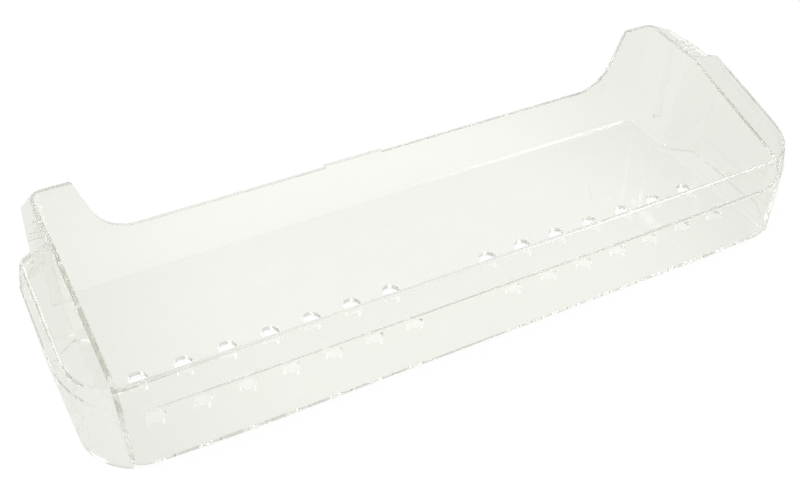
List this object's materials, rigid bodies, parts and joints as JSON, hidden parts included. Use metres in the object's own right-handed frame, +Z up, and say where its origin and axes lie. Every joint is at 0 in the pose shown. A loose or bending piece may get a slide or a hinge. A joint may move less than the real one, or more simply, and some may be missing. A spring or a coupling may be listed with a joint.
{
  "type": "fridge door shelf",
  "caption": "Clear moulded shelf bin for a fridge door, with a low front wall, rear ears, hollow end wings that hook on the door, and rows of holes in the floor.",
  "frame": {"origin": "middle of the footprint, on the underside of the floor", "axes": "+X along the length of the shelf, +Y from the front wall towards the door, +Z up"},
  "size_m": [0.4518, 0.141, 0.0751],
  "materials": {
    "clear_polystyrene": "clear, glossy, injection moulded"
  },
  "bodies": {
    "root": {"door_shelf": "clear_polystyrene"}
  },
  "joints": []
}
